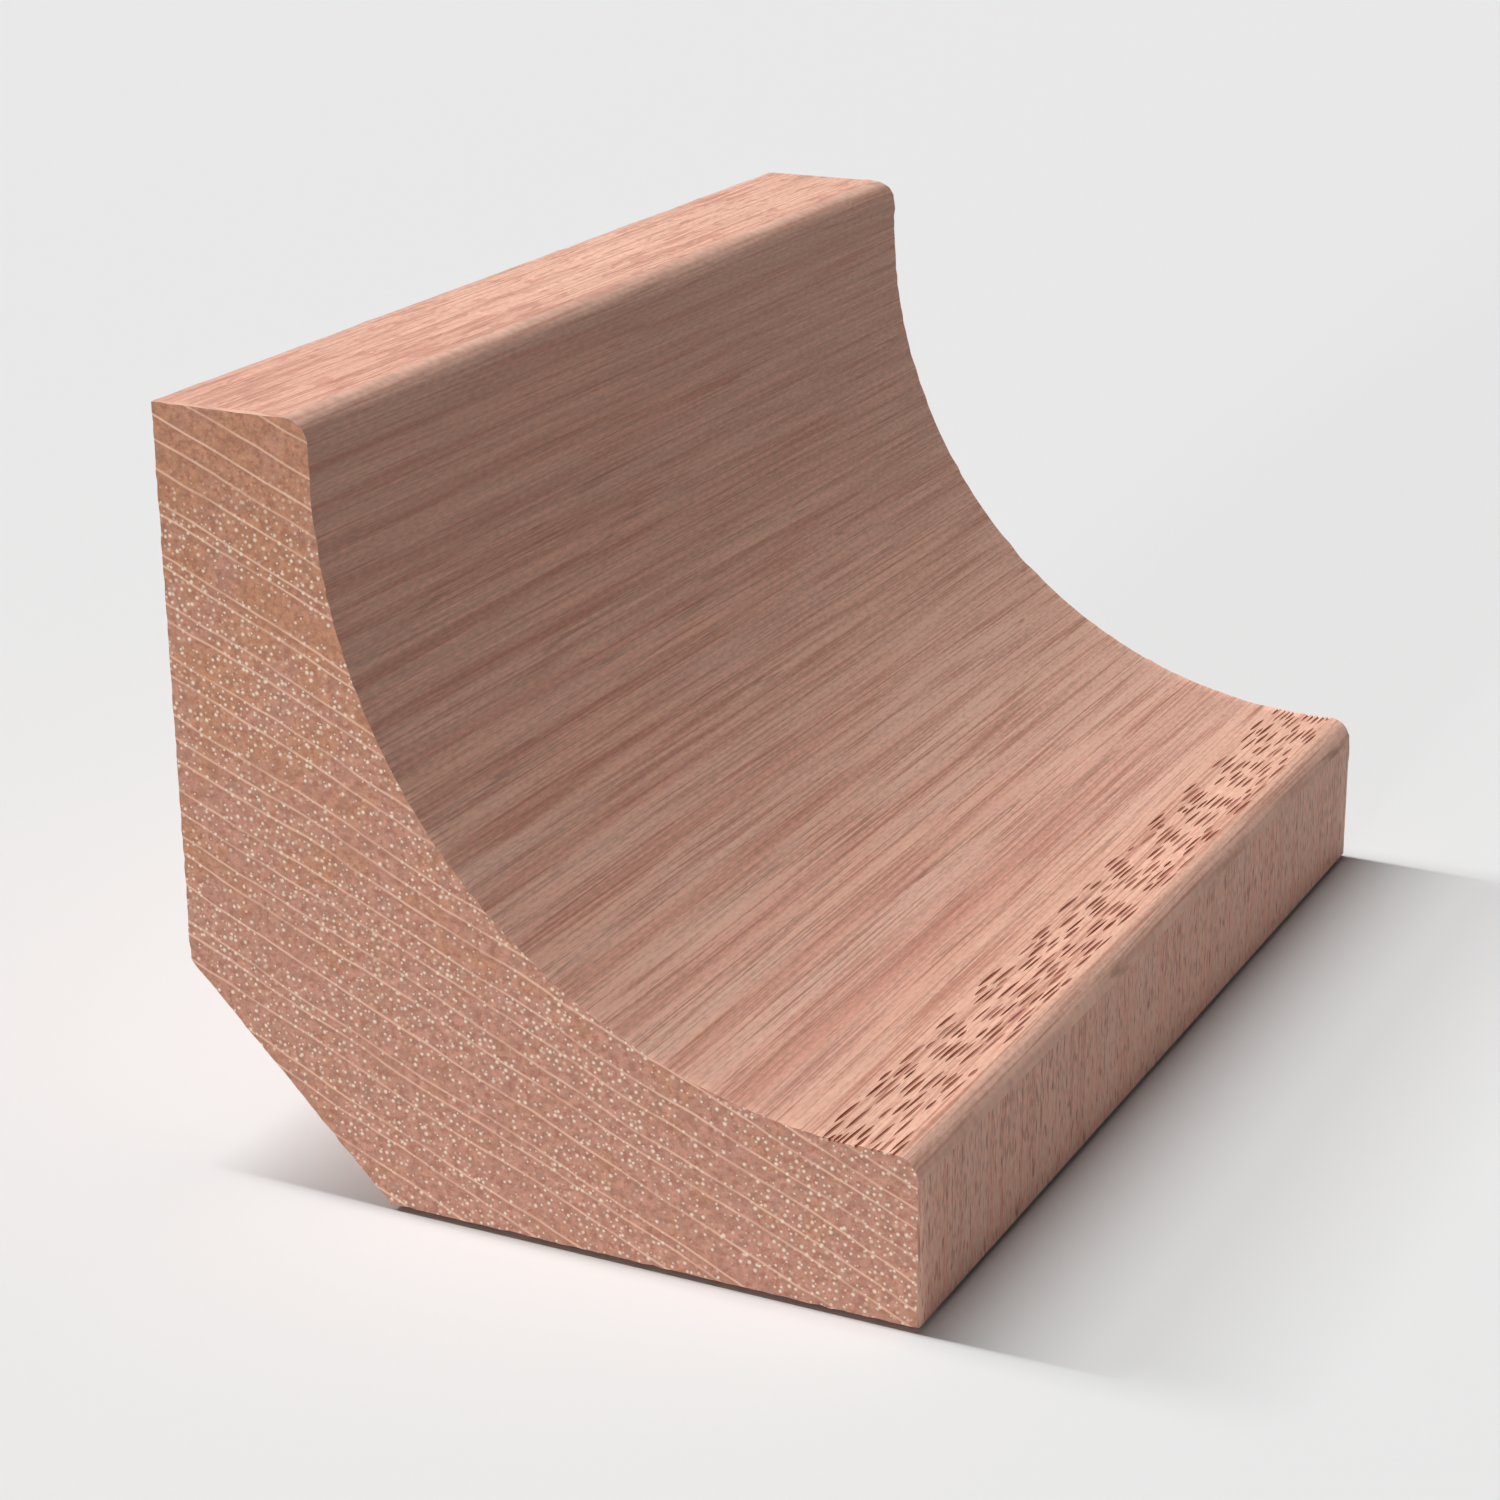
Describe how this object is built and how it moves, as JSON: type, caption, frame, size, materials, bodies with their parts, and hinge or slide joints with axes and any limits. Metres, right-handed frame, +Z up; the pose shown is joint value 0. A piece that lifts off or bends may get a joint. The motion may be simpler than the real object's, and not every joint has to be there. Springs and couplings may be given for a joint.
{
  "type": "cove moulding",
  "caption": "Short length of hardwood cove moulding: square section with a quarter-round hollow between an upright leg and a toe, eased front arrises and a chamfered heel.",
  "frame": {"origin": "on the bottom face, at the middle of the section's width and at mid length", "axes": "+X from the back face towards the front of the toe, +Y along the length and the grain, +Z up from the bottom face to the top of the leg"},
  "size_m": [0.032, 0.053, 0.032],
  "materials": {
    "hardwood": "bare planed reddish hardwood with open pores, sawn ends"
  },
  "bodies": {
    "root": {"cove_moulding": "hardwood"}
  },
  "joints": []
}
